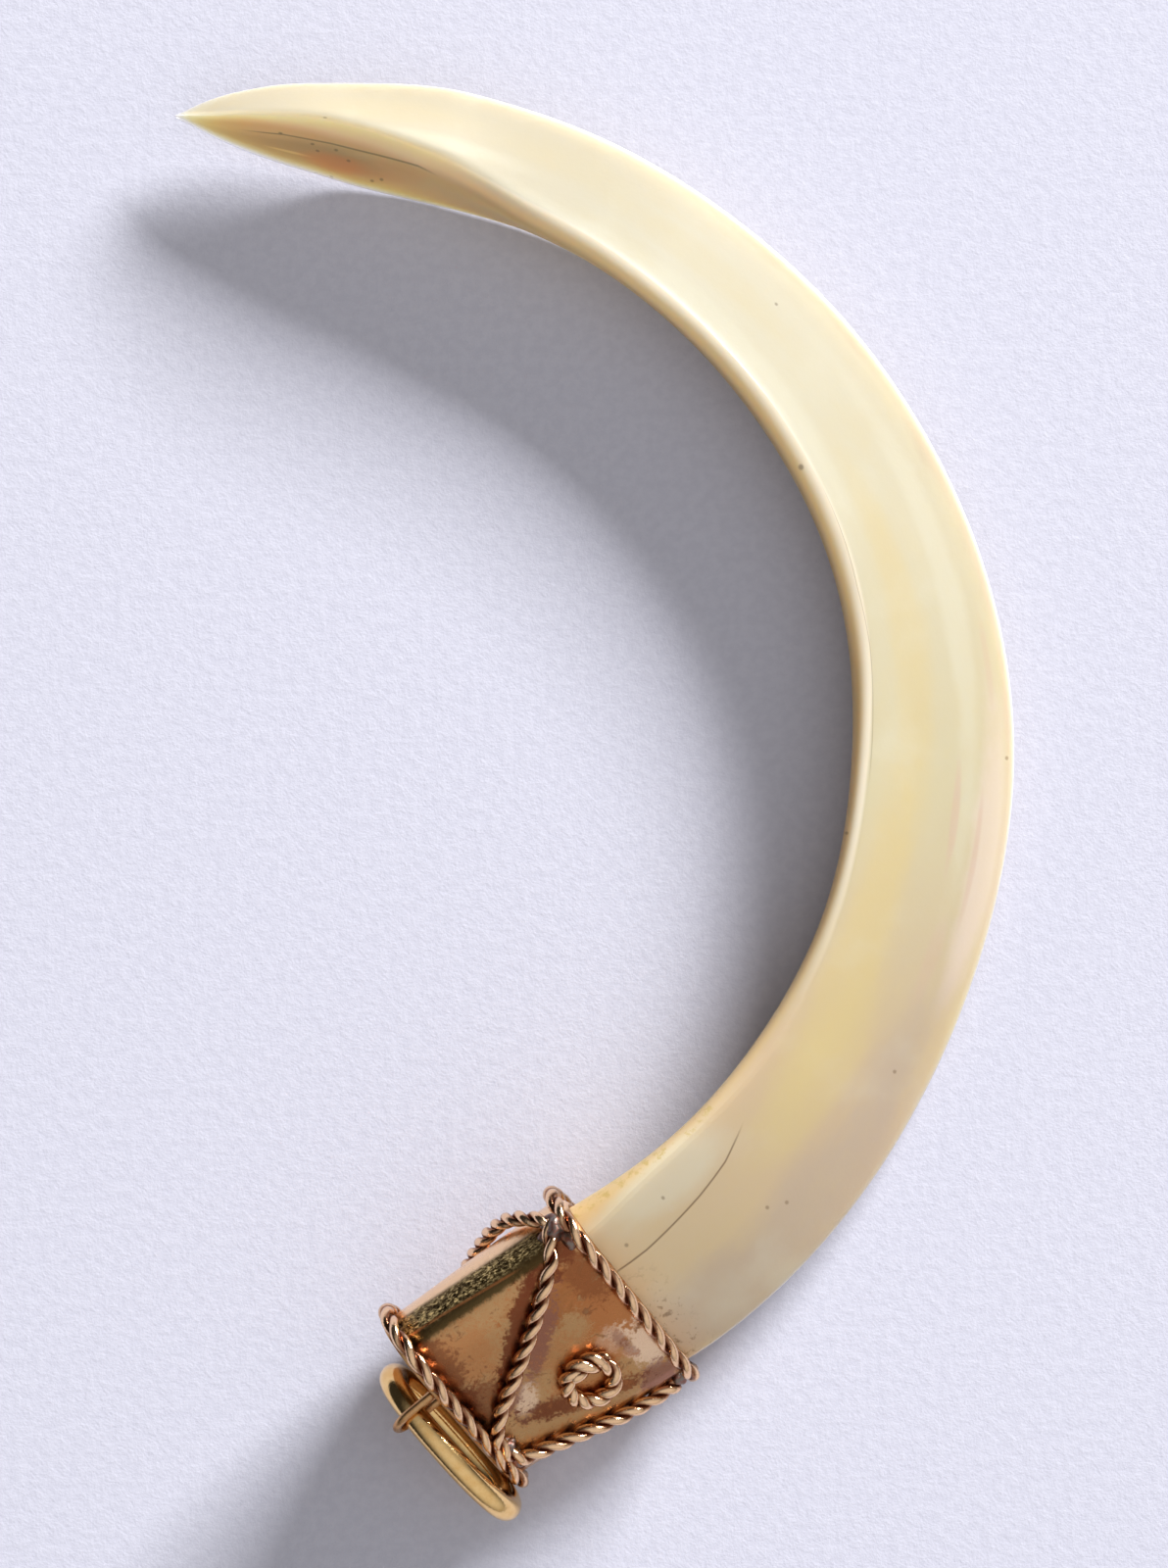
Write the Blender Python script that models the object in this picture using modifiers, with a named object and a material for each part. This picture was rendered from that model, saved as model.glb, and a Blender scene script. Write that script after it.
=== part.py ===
"""Boar tusk pendant: one curled tusk in a soldered cap with twisted wire trim,
a wire staple on the cap's end plate and an oval bail ring hanging in it.
It lies on its side: +Z up, z = 0 is the surface under it, units are metres."""

import math

import bpy
import bmesh
import numpy as np
from mathutils import Vector

MM = 0.001
COLLECTION_NAME = "tusk_pendant"
TOUCH_GAP = 0.3 * MM

# Tusk: centre line and section, each as (angle about the curl's centre in degrees, mm)
CURL_CENTRE = Vector((-17.63, 4.85, 0.0)) * MM
MOUTH_ANGLE = -66.7
TIP_ANGLE = 109.1
CENTRE_RADIUS = [(-66.7, 51.05), (-52, 49.7), (-36, 48.35), (-12, 47.4), (20, 47.6), (36, 47.95),
                 (52, 48.95), (68, 50.45), (84, 52.2), (94, 53.65), (102, 55.8), (109.1, 57.9)]
HALF_WIDTH = [(-84, 8.0), (-66.7, 8.6), (-48, 7.9), (-24, 7.1), (0, 6.95), (24, 6.12), (44, 5.68),
              (64, 5.1), (78, 5.05), (88, 4.8), (96, 3.85), (102, 2.75), (106, 1.4), (109.1, 0.2)]
TOP_EDGE_HEIGHT = [(-84, 12.5), (-66.7, 13.2), (-30, 10.7), (0, 8.7), (45, 7.7), (66, 7.6),
                   (80, 8.0), (90, 8.0), (98, 7.1), (104, 5.8), (109.1, 4.1)]
BOTTOM_EDGE_HEIGHT = [(-84, 3.3), (-66.7, 3.8), (-40, 1.9), (-10, 0.3), (20, 0.2), (55, 0.2),
                      (80, 0.2), (90, 0.6), (98, 1.8), (104, 2.9), (109.1, 3.8)]
KEEL_HEIGHT = [(-84, 3.2), (-66.7, 3.6), (-30, 2.4), (-5, 2.8), (20, 3.8), (45, 4.9), (65, 5.3),
               (80, 5.3), (90, 4.9), (98, 4.3), (104, 3.95), (109.1, 3.95)]
TOP_EDGE_INSET = [(-84, -1.6), (-62, -1.4), (-36, -0.4), (-20, 0.3), (-5, 1.0), (12, 1.8),
                  (40, 1.85), (66, 1.7), (76, 2.2), (86, 3.6), (93, 4.1), (99, 3.5), (104, 2.1), (109.1, 0.3)]
TOP_EDGE_SHARPNESS = [(-84, 5), (-60, 6), (-20, 10), (20, 14), (109.1, 12)]
BOTTOM_EDGE_SHARPNESS = [(-84, 4), (-40, 7), (40, 8), (109.1, 8)]
KEEL_SHARPNESS = [(-84, 4), (109.1, 4)]

# Cap: a straight frame that starts at the mouth, 16 mm of tusk sit inside it
CAP_HEADING = math.radians(-53.1)
CAP_SPAN_PER_DEGREE = 1.02 * MM
CAP_DRIFT = -1.0 / 18.0
CAP_LEAN = 0.02
CAP_LEAN_HEIGHT = 7.0 * MM
CAP_BLEND_START = -60.0
TUSK_BASE_DEPTH = 16.5 * MM
SLEEVE_MOUTH = -0.6 * MM
SLEEVE_LENGTH = 18.3 * MM
SLEEVE_CLEARANCE = 0.5 * MM
SLEEVE_THICKNESS = 0.45 * MM
PLATE_START = SLEEVE_MOUTH + SLEEVE_LENGTH + TOUCH_GAP
PLATE_THICKNESS = 0.45 * MM
PLATE_OVERHANG = 0.8 * MM

# Twisted wire rope: two wires side by side, turning as they run
ROPE_WIRE_RADIUS = 0.36 * MM
ROPE_WAIST = 0.2 * MM
ROPE_RADIUS = 2 * ROPE_WIRE_RADIUS
ROPE_REACH = math.sqrt(ROPE_RADIUS ** 2 - ROPE_WAIST ** 2)
ROPE_STEPS_PER_LOBE = 3
ROPE_SIDES = 8
ROPE_LIFT = SLEEVE_CLEARANCE + SLEEVE_THICKNESS + TOUCH_GAP + ROPE_RADIUS
RIM_LOBE_PITCH = 2.3 * MM
ZIGZAG_LOBE_PITCH = 1.9 * MM
COIL_LOBE_PITCH = 1.45 * MM
MOUTH_ROPE_DEPTH = 0.1 * MM
PLATE_ROPE_DEPTH = 16.95 * MM

# Zigzag route: (depth into the cap in mm, place around it: 0 top edge, 1 keel, 2 bottom edge)
ZIGZAG_ROUTE = [(1.7, 0.04), (16.1, 0.72), (10.5, 0.85), (1.5, 1.0), (15.7, 1.75), (1.7, 2.93)]
ZIGZAG_SMOOTHINGS = 5
COIL_DEPTH = 6.9 * MM
COIL_PLACE = 0.67
COIL_RADIUS = 2.45 * MM
COIL_TURN = 0.9
COIL_START = math.radians(200)

# Staple and bail ring, placed in the cap's frame
RING_WIRE_RADIUS = 1.15 * MM
RING_HALF_LENGTH = 7.55 * MM
RING_HALF_HEIGHT = 4.1 * MM
RING_SQUARENESS = 2.3
RING_DEPTH = 20.3 * MM
RING_SIDE_SHIFT = 1.85 * MM
RING_YAW = math.radians(-4.8)
RING_LEAN = math.radians(7.0)
RING_SEGMENTS = 44
STAPLE_WIRE_RADIUS = 0.38 * MM
STAPLE_PLACE = -4.1 * MM
STAPLE_CLEARANCE = 0.35 * MM

GOLD = (0.60, 0.36, 0.18, 1.0)
PALE_GOLD = (0.80, 0.60, 0.34, 1.0)
IVORY = (0.80, 0.70, 0.50, 1.0)


def smooth_value(knots, x):
    """Value of a smooth curve through the knots, level beyond its two ends."""
    xs = [k[0] for k in knots]
    ys = [k[1] for k in knots]
    if x <= xs[0]:
        return ys[0]
    if x >= xs[-1]:
        return ys[-1]
    slopes = np.gradient(ys, xs)
    i = int(np.searchsorted(xs, x, side="right")) - 1
    span = xs[i + 1] - xs[i]
    t = (x - xs[i]) / span
    start = (1 + 2 * t) * (1 - t) ** 2 * ys[i] + t * (1 - t) ** 2 * span * slopes[i]
    end = t * t * (3 - 2 * t) * ys[i + 1] - t * t * (1 - t) * span * slopes[i + 1]
    return float(start + end)


def heading_vector(heading):
    return Vector((math.cos(heading), math.sin(heading), 0.0))


UP = Vector((0, 0, 1))
CAP_SIDE = heading_vector(CAP_HEADING)
CAP_AXIS = heading_vector(CAP_HEADING - math.pi / 2)


def curl_point(angle):
    """Plan point of the centre line on the curled part."""
    radius = smooth_value(CENTRE_RADIUS, angle) * MM
    return CURL_CENTRE + heading_vector(math.radians(angle)) * radius


MOUTH_CENTRE = curl_point(MOUTH_ANGLE)


def station(angle):
    """Centre, side direction and lean vector of the section at one place of the tusk."""
    if angle < MOUTH_ANGLE:
        depth = (MOUTH_ANGLE - angle) * CAP_SPAN_PER_DEGREE
        centre = MOUTH_CENTRE + CAP_AXIS * depth + CAP_SIDE * (depth * CAP_DRIFT)
        return centre, CAP_SIDE, CAP_AXIS * CAP_LEAN
    along = curl_point(angle + 0.5) - curl_point(angle - 0.5)
    heading = math.atan2(-along.x, along.y)
    blend = min(1.0, max(0.0, (CAP_BLEND_START - angle) / (CAP_BLEND_START - MOUTH_ANGLE)))
    heading = heading * (1 - blend) + CAP_HEADING * blend
    return curl_point(angle), heading_vector(heading), CAP_AXIS * (CAP_LEAN * blend)


def outline(angle, counts, lift=0.0):
    """Rounded triangle of the section as (side, height) points, one count for each face:
    top face from the top edge to the keel, underside to the bottom edge, inner face back up."""
    half_width = smooth_value(HALF_WIDTH, angle) * MM
    inset = smooth_value(TOP_EDGE_INSET, angle) * MM
    wanted = [
        Vector((max(inset, 0.0) - half_width, smooth_value(TOP_EDGE_HEIGHT, angle) * MM)),
        Vector((half_width, smooth_value(KEEL_HEIGHT, angle) * MM)),
        Vector((max(-inset, 0.0) - half_width, smooth_value(BOTTOM_EDGE_HEIGHT, angle) * MM)),
    ]
    sharpness = [smooth_value(k, angle)
                 for k in (TOP_EDGE_SHARPNESS, KEEL_SHARPNESS, BOTTOM_EDGE_SHARPNESS)]
    pole = (wanted[0] + wanted[1] + wanted[2]) / 3
    corners = [(w - pole) * 2 ** (1 / k) for w, k in zip(wanted, sharpness)]
    faces = []
    for i in range(3):
        edge = corners[(i + 1) % 3] - corners[i]
        normal = Vector((-edge.y, edge.x)).normalized()
        distance = normal.dot(corners[i])
        faces.append(normal / distance)
    turns = [math.atan2(c.y, c.x) for c in corners]
    steps = 60
    dense = []
    for i in range(3):
        sweep = (turns[(i + 1) % 3] - turns[i]) % (2 * math.pi) - 2 * math.pi
        for step in range(steps):
            t = step / steps
            turn = turns[i] + sweep * t
            power = sharpness[i] * (1 - t) + sharpness[(i + 1) % 3] * t
            ray = Vector((math.cos(turn), math.sin(turn)))
            total = sum(max(0.0, face.dot(ray)) ** power for face in faces)
            dense.append(pole + ray * total ** (-1 / power))
    dense = np.array([tuple(p) for p in dense])
    tangent = np.roll(dense, -1, axis=0) - np.roll(dense, 1, axis=0)
    tangent /= np.linalg.norm(tangent, axis=1)[:, None]
    dense = dense + lift * np.column_stack((-tangent[:, 1], tangent[:, 0]))
    points = []
    for i, count in enumerate(counts):
        span = np.vstack((dense, dense[:1]))[i * steps:(i + 1) * steps + 1]
        run = np.concatenate(([0], np.cumsum(np.linalg.norm(np.diff(span, axis=0), axis=1))))
        reach = np.arange(count) / count * run[-1]
        points += list(zip(np.interp(reach, run, span[:, 0]), np.interp(reach, run, span[:, 1])))
    return points


def place(angle, side, height):
    """World point of a section point."""
    centre, outward, lean = station(angle)
    return centre + outward * side + UP * height + lean * (height - CAP_LEAN_HEIGHT)


def ring_points(angle, counts, lift=0.0):
    return [place(angle, side, height) for side, height in outline(angle, counts, lift)]


def depth_angle(depth):
    """Station angle of a depth measured into the cap from its mouth."""
    return MOUTH_ANGLE - depth / CAP_SPAN_PER_DEGREE


def cap_point(depth, around, lift):
    """World point over the cap: around runs 0 to 3 over top, underside and inner face."""
    points = ring_points(depth_angle(depth), (24, 24, 24), lift)
    where = (around % 3) * 24
    first = int(where)
    part = where - first
    return points[first % 72].lerp(points[(first + 1) % 72], part)


def new_material(name, colour, metallic, roughness):
    material = bpy.data.materials.new(name)
    material.use_nodes = True
    shader = material.node_tree.nodes["Principled BSDF"]
    shader.inputs["Base Color"].default_value = colour
    shader.inputs["Metallic"].default_value = metallic
    shader.inputs["Roughness"].default_value = roughness
    return material


def add_object(name, data, colour, metallic, roughness):
    data.materials.append(new_material(name + "_finish", colour, metallic, roughness))
    item = bpy.data.objects.new(name, data)
    parts.objects.link(item)
    return item


def loft(name, rings, closed=False, ends=True):
    """Mesh skinned over rings of equal point count."""
    bm = bmesh.new()
    loops = [[bm.verts.new(p) for p in ring] for ring in rings]
    count = len(loops[0])
    pairs = list(zip(loops, loops[1:]))
    if closed:
        pairs.append((loops[-1], loops[0]))
    for one, two in pairs:
        for i in range(count):
            j = (i + 1) % count
            bm.faces.new((one[i], one[j], two[j], two[i]))
    if ends and not closed:
        bm.faces.new(loops[0][::-1])
        bm.faces.new(loops[-1])
    bmesh.ops.recalc_face_normals(bm, faces=bm.faces)
    mesh = bpy.data.meshes.new(name)
    bm.to_mesh(mesh)
    bm.free()
    mesh.shade_smooth()
    mesh.set_sharp_from_angle(angle=math.radians(40))
    return mesh


def make_tusk():
    """The tusk with its cut base inside the cap and its worn facet near the tip."""
    base_angle = depth_angle(TUSK_BASE_DEPTH)
    angles = list(np.linspace(base_angle, MOUTH_ANGLE, 4))
    angles += list(np.arange(MOUTH_ANGLE + 4.0, 98.0, 4.0))
    angles += [98.0, 100.5, 103.0, 105.0, 106.7, 108.0, TIP_ANGLE]
    rings = [ring_points(angle, (9, 9, 6)) for angle in angles]
    add_object("tusk", loft("tusk", rings), IVORY, 0.0, 0.35)


def make_sleeve():
    """Sheet sleeve around the tusk's base, open at both ends."""
    depths = np.linspace(SLEEVE_MOUTH, SLEEVE_MOUTH + SLEEVE_LENGTH, 5)
    rings = [ring_points(depth_angle(d), (12, 12, 8), SLEEVE_CLEARANCE) for d in depths]
    sleeve = add_object("cap_sleeve", loft("cap_sleeve", rings, ends=False), GOLD, 1.0, 0.35)
    wall = sleeve.modifiers.new("wall", "SOLIDIFY")
    wall.thickness = SLEEVE_THICKNESS
    wall.offset = 1.0
    wall.use_even_offset = True


def make_end_plate():
    """Flat plate that closes the cap."""
    lift = SLEEVE_CLEARANCE + SLEEVE_THICKNESS + PLATE_OVERHANG
    rings = [ring_points(depth_angle(d), (12, 12, 8), lift)
             for d in (PLATE_START, PLATE_START + PLATE_THICKNESS)]
    add_object("end_plate", loft("end_plate", rings), GOLD, 1.0, 0.35)


def make_rope(name, path, outward, closed):
    """Two wires twisted together along a path, half a turn in each lobe's steps."""
    count = len(path)
    rings = []
    for i, point in enumerate(path):
        after = path[(i + 1) % count] if closed else path[min(i + 1, count - 1)]
        before = path[i - 1] if closed else path[max(i - 1, 0)]
        along = (after - before).normalized()
        up = (outward[i] - along * outward[i].dot(along)).normalized()
        across = along.cross(up)
        twist = -math.pi * i / ROPE_STEPS_PER_LOBE
        ring = []
        for side in range(ROPE_SIDES):
            turn = 2 * math.pi * side / ROPE_SIDES
            reach = math.hypot(ROPE_REACH * math.cos(turn), ROPE_WAIST)
            turned = turn + twist
            ring.append(point + (across * math.cos(turned) + up * math.sin(turned)) * reach)
        rings.append(ring)
    add_object(name, loft(name, rings, closed=closed), GOLD, 1.0, 0.3)


def even_points(points, count, closed):
    """The same path with evenly spaced points."""
    track = np.array([tuple(p) for p in points] + ([tuple(points[0])] if closed else []))
    run = np.concatenate(([0], np.cumsum(np.linalg.norm(np.diff(track, axis=0), axis=1))))
    reach = np.arange(count) / (count if closed else count - 1) * run[-1]
    return [Vector([float(np.interp(r, run, track[:, k])) for k in range(3)]) for r in reach]


def path_length(points, closed):
    pairs = list(zip(points, points[1:]))
    if closed:
        pairs.append((points[-1], points[0]))
    return sum((b - a).length for a, b in pairs)


def make_rim_rope(name, depth):
    """Rope laid round the cap at one depth."""
    angle = depth_angle(depth)
    coarse = ring_points(angle, (40, 40, 24), ROPE_LIFT)
    lobes = 2 * round(path_length(coarse, True) / RIM_LOBE_PITCH / 2)
    count = lobes * ROPE_STEPS_PER_LOBE
    path = even_points(coarse, count, True)
    outer = even_points(ring_points(angle, (40, 40, 24), ROPE_LIFT + 1 * MM), count, True)
    make_rope(name, path, [b - a for a, b in zip(path, outer)], True)


def make_zigzag_rope():
    """One rope that zigzags round the cap between the two rim ropes."""
    route = []
    for (d0, a0), (d1, a1) in zip(ZIGZAG_ROUTE, ZIGZAG_ROUTE[1:]):
        for t in np.linspace(0, 1, 60, endpoint=False):
            route.append((d0 + (d1 - d0) * t, a0 + (a1 - a0) * t))
    route.append(ZIGZAG_ROUTE[-1])
    route = np.array(route)
    for _ in range(ZIGZAG_SMOOTHINGS):
        route[1:-1] = (route[:-2] + 2 * route[1:-1] + route[2:]) / 4
    coarse = [cap_point(d * MM, a, ROPE_LIFT) for d, a in route]
    upper = [cap_point(d * MM, a, ROPE_LIFT + 1 * MM) for d, a in route]
    lobes = round(path_length(coarse, False) / ZIGZAG_LOBE_PITCH)
    count = lobes * ROPE_STEPS_PER_LOBE + 1
    path = even_points(coarse, count, False)
    outer = even_points(upper, count, False)
    make_rope("zigzag_rope", path, [b - a for a, b in zip(path, outer)], False)


def make_coil_rope():
    """Small loop of rope soldered flat on the top face."""
    face = ring_points(depth_angle(COIL_DEPTH), (24, 24, 24), ROPE_LIFT)[:25]
    face_length = path_length(face, False)
    lobes = round(2 * math.pi * COIL_RADIUS * COIL_TURN / COIL_LOBE_PITCH)
    count = lobes * ROPE_STEPS_PER_LOBE + 1
    path = []
    outward = []
    for i in range(count):
        turn = 2 * math.pi * COIL_TURN * i / (count - 1) + COIL_START
        depth = COIL_DEPTH + COIL_RADIUS * math.cos(turn)
        around = COIL_PLACE + COIL_RADIUS * math.sin(turn) / face_length
        path.append(cap_point(depth, around, ROPE_LIFT))
        outward.append(cap_point(depth, around, ROPE_LIFT + 1 * MM) - path[-1])
    make_rope("coil_rope", path, outward, False)


# The bail ring's frame: it stands on edge beyond the plate, its top leaning outwards
RING_ALONG = (CAP_SIDE * math.cos(RING_YAW) + CAP_AXIS * math.sin(RING_YAW)).normalized()
RING_OUT = RING_ALONG.cross(UP)
RING_UP = UP * math.cos(RING_LEAN) + RING_OUT * math.sin(RING_LEAN)
RING_CENTRE = MOUTH_CENTRE + CAP_AXIS * RING_DEPTH + CAP_SIDE * RING_SIDE_SHIFT
RING_CENTRE.z = RING_WIRE_RADIUS + RING_HALF_HEIGHT * math.cos(RING_LEAN) + 0.05 * MM


def ring_path_point(turn):
    """Point of the ring's centre line in its own plane, as (along, up)."""
    c = math.cos(turn)
    s = math.sin(turn)
    size = (abs(c / RING_HALF_LENGTH) ** RING_SQUARENESS
            + abs(s / RING_HALF_HEIGHT) ** RING_SQUARENESS) ** (-1 / RING_SQUARENESS)
    return c * size, s * size


def rail_turn(place_along):
    """Turn at which the ring's upper rail passes a place along it."""
    low = 0.0
    high = math.pi
    for _ in range(40):
        middle = (low + high) / 2
        if ring_path_point(middle)[0] > place_along:
            low = middle
        else:
            high = middle
    return low


def ring_world(turn):
    along, up = ring_path_point(turn)
    return RING_CENTRE + RING_ALONG * along + RING_UP * up


HINGE_TURN = rail_turn(STAPLE_PLACE)
HINGE_POINT = ring_world(HINGE_TURN)
HINGE_AXIS = (ring_world(HINGE_TURN - 0.02) - ring_world(HINGE_TURN + 0.02)).normalized()


def add_wire(name, points, wire_radius, cyclic, resolution, colour):
    """Round wire along a polyline, as a bevelled curve."""
    curve = bpy.data.curves.new(name, "CURVE")
    curve.dimensions = "3D"
    curve.bevel_depth = wire_radius
    curve.bevel_resolution = resolution
    curve.use_fill_caps = True
    spline = curve.splines.new("POLY")
    spline.points.add(len(points) - 1)
    for target, point in zip(spline.points, points):
        target.co = (*point, 1.0)
    spline.use_cyclic_u = cyclic
    return add_object(name, curve, colour, 1.0, 0.2)


def make_bail_ring():
    """Closed oval ring, its origin on the rail inside the staple."""
    hinge = bpy.data.objects.new("bail_hinge", None)
    hinge.location = HINGE_POINT
    parts.objects.link(hinge)
    turns = [2 * math.pi * i / RING_SEGMENTS for i in range(RING_SEGMENTS)]
    points = [ring_world(turn) - HINGE_POINT for turn in turns]
    ring = add_wire("bail_ring", points, RING_WIRE_RADIUS, True, 3, PALE_GOLD)
    ring.parent = hinge


def make_staple():
    """Wire loop with both feet on the end plate, round the ring's rail."""
    reach = RING_WIRE_RADIUS + STAPLE_CLEARANCE + STAPLE_WIRE_RADIUS
    outward = (CAP_AXIS - HINGE_AXIS * CAP_AXIS.dot(HINGE_AXIS)).normalized()
    across = outward.cross(HINGE_AXIS).normalized()
    plate_point = cap_point(PLATE_START + PLATE_THICKNESS, 0.5, 0.0)
    plate_normal = (CAP_AXIS - UP * CAP_LEAN).normalized()
    points = []
    for side in (1, -1):
        limb = HINGE_POINT + across * (reach * side)
        run = (plate_point - limb).dot(plate_normal) + TOUCH_GAP
        foot = limb + outward * (run / outward.dot(plate_normal))
        limb_points = [foot.lerp(limb, t) for t in (0.0, 0.34, 0.67)]
        if side == 1:
            points += limb_points
            for step in range(13):
                turn = math.pi / 2 - math.pi * step / 12
                points.append(HINGE_POINT + (outward * math.cos(turn)
                                             + across * math.sin(turn)) * reach)
        else:
            points += limb_points[::-1]
    add_wire("staple", points, STAPLE_WIRE_RADIUS, False, 2, GOLD)


for old in list(bpy.data.objects):
    bpy.data.objects.remove(old, do_unlink=True)
parts = bpy.data.collections.new(COLLECTION_NAME)
bpy.context.scene.collection.children.link(parts)

make_tusk()
make_sleeve()
make_end_plate()
make_rim_rope("mouth_rope", MOUTH_ROPE_DEPTH)
make_rim_rope("plate_rope", PLATE_ROPE_DEPTH)
make_zigzag_rope()
make_coil_rope()
make_staple()
make_bail_ring()
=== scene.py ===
"""Boar tusk pendant on pale paper: a curled tusk in a gold cap with twisted wire trim,
a wire staple and an oval bail ring. Sizes are in millimetres, and MM turns them into metres."""

import math

import bmesh
import bpy
import numpy as np
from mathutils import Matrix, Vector, noise


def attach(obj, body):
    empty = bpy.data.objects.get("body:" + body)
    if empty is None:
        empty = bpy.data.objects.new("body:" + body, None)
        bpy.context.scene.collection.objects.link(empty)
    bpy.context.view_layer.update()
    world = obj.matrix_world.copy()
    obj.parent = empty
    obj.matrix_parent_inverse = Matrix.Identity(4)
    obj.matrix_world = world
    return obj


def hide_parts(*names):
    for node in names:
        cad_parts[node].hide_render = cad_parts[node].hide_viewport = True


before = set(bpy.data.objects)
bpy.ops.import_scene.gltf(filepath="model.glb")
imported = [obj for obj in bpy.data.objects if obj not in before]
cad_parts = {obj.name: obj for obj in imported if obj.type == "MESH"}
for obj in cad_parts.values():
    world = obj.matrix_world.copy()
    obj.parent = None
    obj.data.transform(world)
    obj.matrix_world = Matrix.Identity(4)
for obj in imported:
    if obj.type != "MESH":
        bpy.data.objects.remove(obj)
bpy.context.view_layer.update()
MM = 0.001
UP = Vector((0, 0, 1))
scene = bpy.context.scene
scene.view_settings.view_transform = "Standard"

# The view: the camera looks straight down on the pendant from half a metre, with a long
# lens, so that the tusk's tip is at the top and its cap at the bottom.
CAMERA_PLACE = Vector((-0.97, 1.45, 480.0)) * MM
LENS = 125.46

camera_data = bpy.data.cameras.new("camera")
camera_data.sensor_fit = "VERTICAL"
camera_data.sensor_height = 36.0
camera_data.lens = LENS
camera = bpy.data.objects.new("camera", camera_data)
camera.location = CAMERA_PLACE
scene.collection.objects.link(camera)
scene.camera = camera

# The paper: one large sheet of pale, faintly lilac cartridge paper. Its grain is shallow
# and soft, and it is mat all over.
PAPER_REACH = 1500 * MM
PAPER_TONE = (0.705, 0.705, 0.82, 1.0)
PAPER_SHADE = (0.665, 0.665, 0.78, 1.0)


class Socket:
    """One output socket of a node tree. Arithmetic on it adds the Math nodes for it."""

    def __init__(self, tree, output=None):
        self.tree = tree
        self.output = output

    def node(self, kind, settings=None, inputs=None, output=0):
        """Any other node: its settings are set first, then its sockets' values or links."""
        node = self.tree.nodes.new(kind)
        for name, value in (settings or {}).items():
            if name == "stops":
                ramp = node.color_ramp.elements
                ramp.remove(ramp[1])
                ramp[0].position, ramp[0].color = value[0]
                for place, tone in value[1:]:
                    ramp.new(place).color = tone
            else:
                setattr(node, name, value)
        for name, value in (inputs or {}).items():
            if isinstance(value, Socket):
                self.tree.links.new(value.output, node.inputs[name])
            else:
                node.inputs[name].default_value = value
        return Socket(self.tree, node.outputs[output])

    def math(self, operation, *values):
        return self.node("ShaderNodeMath", {"operation": operation}, dict(enumerate(values)))

    def __add__(self, other):
        return self.math("ADD", self, other)

    def __radd__(self, other):
        return self.math("ADD", other, self)

    def __sub__(self, other):
        return self.math("SUBTRACT", self, other)

    def __rsub__(self, other):
        return self.math("SUBTRACT", other, self)

    def __mul__(self, other):
        return self.math("MULTIPLY", self, other)

    def __rmul__(self, other):
        return self.math("MULTIPLY", other, self)

    def __truediv__(self, other):
        return self.math("DIVIDE", self, other)

    def __abs__(self):
        return self.math("ABSOLUTE", self)

    def step(self, start, end):
        """0 before start, 1 after end, smooth between; start may be the larger."""
        return self.node("ShaderNodeMapRange", {"interpolation_type": "SMOOTHSTEP"},
                         {"Value": self, "From Min": start, "From Max": end})

    def mix(self, one, two):
        """The colour one where this mask is 0 and the colour two where it is 1."""
        return self.node("ShaderNodeMix", {"data_type": "RGBA"}, {0: self, 6: one, 7: two}, 2)

    def vector(self, operation, *values, output=0):
        return self.node("ShaderNodeVectorMath", {"operation": operation},
                         dict(enumerate(values)), output)

    def grain(self, scale, detail=2.0, roughness=0.5, distortion=0.0):
        """Noise between 0 and 1 over this vector."""
        return self.node("ShaderNodeTexNoise", {}, {
            "Vector": self, "Scale": scale, "Detail": detail, "Roughness": roughness,
            "Distortion": distortion})

    def ramp(self, stops):
        """The colour of a ramp through these stops, which lie at values of this socket."""
        start = stops[0][0]
        span = stops[-1][0] - start
        return self.node("ShaderNodeValToRGB",
                         {"stops": [((x - start) / span, tone) for x, tone in stops]},
                         {"Fac": (self - start) / span})

    def curve(self, knots):
        """The height of a line through the knots, level beyond its two ends."""
        low = min(y for _, y in knots)
        span = max(y for _, y in knots) - low
        shades = [(x, ((y - low) / span,) * 3 + (1.0,)) for x, y in knots]
        return self.ramp(shades) * span + low

    def oval(self, centre, size, heading=0.0):
        """How far this vector lies from an oval's centre: 1 is on its edge."""
        local = self.node("ShaderNodeMapping", {"vector_type": "TEXTURE"}, {
            "Vector": self, "Location": (*centre, 0.0), "Rotation": (0.0, 0.0, heading),
            "Scale": (*size, 1000.0)})
        return local.vector("LENGTH", local, output="Value")

    def parts(self):
        """The three numbers of this vector."""
        split = self.node("ShaderNodeSeparateXYZ", {}, {0: self})
        return [Socket(self.tree, out) for out in split.output.node.outputs]

    def bump(self, depth, distance=1.0):
        """The normal of a surface with this height, in millimetres."""
        return self.node("ShaderNodeBump", {}, {
            "Height": self, "Strength": depth, "Distance": distance * MM})


class Finish:
    """A material: its shader, its place in millimetres, and links to the shader's sockets."""

    def __init__(self, name, **constants):
        self.material = bpy.data.materials.new(name)
        self.material.use_nodes = True
        tree = self.material.node_tree
        self.shader = tree.nodes["Principled BSDF"]
        for socket, value in constants.items():
            self.shader.inputs[socket.replace("_", " ")].default_value = value
        metres = Socket(tree).node("ShaderNodeTexCoord", output="Object")
        self.place = metres.node("ShaderNodeVectorMath", {"operation": "SCALE"},
                                 {0: metres, "Scale": 1 / MM})

    def attribute(self, name):
        return self.place.node("ShaderNodeAttribute", {"attribute_name": name}, output="Fac")

    def facing(self):
        """The surface's normal at rest."""
        return self.place.node("ShaderNodeTexCoord", output="Normal")

    def drive(self, **links):
        for socket, value in links.items():
            target = self.shader.inputs[socket.replace("_", " ")]
            self.place.tree.links.new(value.output, target)


def link(name, mesh, finish):
    """An object for a finished mesh, in the scene."""
    mesh.materials.clear()
    mesh.materials.append(finish.material)
    item = bpy.data.objects.new(name, mesh)
    scene.collection.objects.link(item)
    return item


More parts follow.
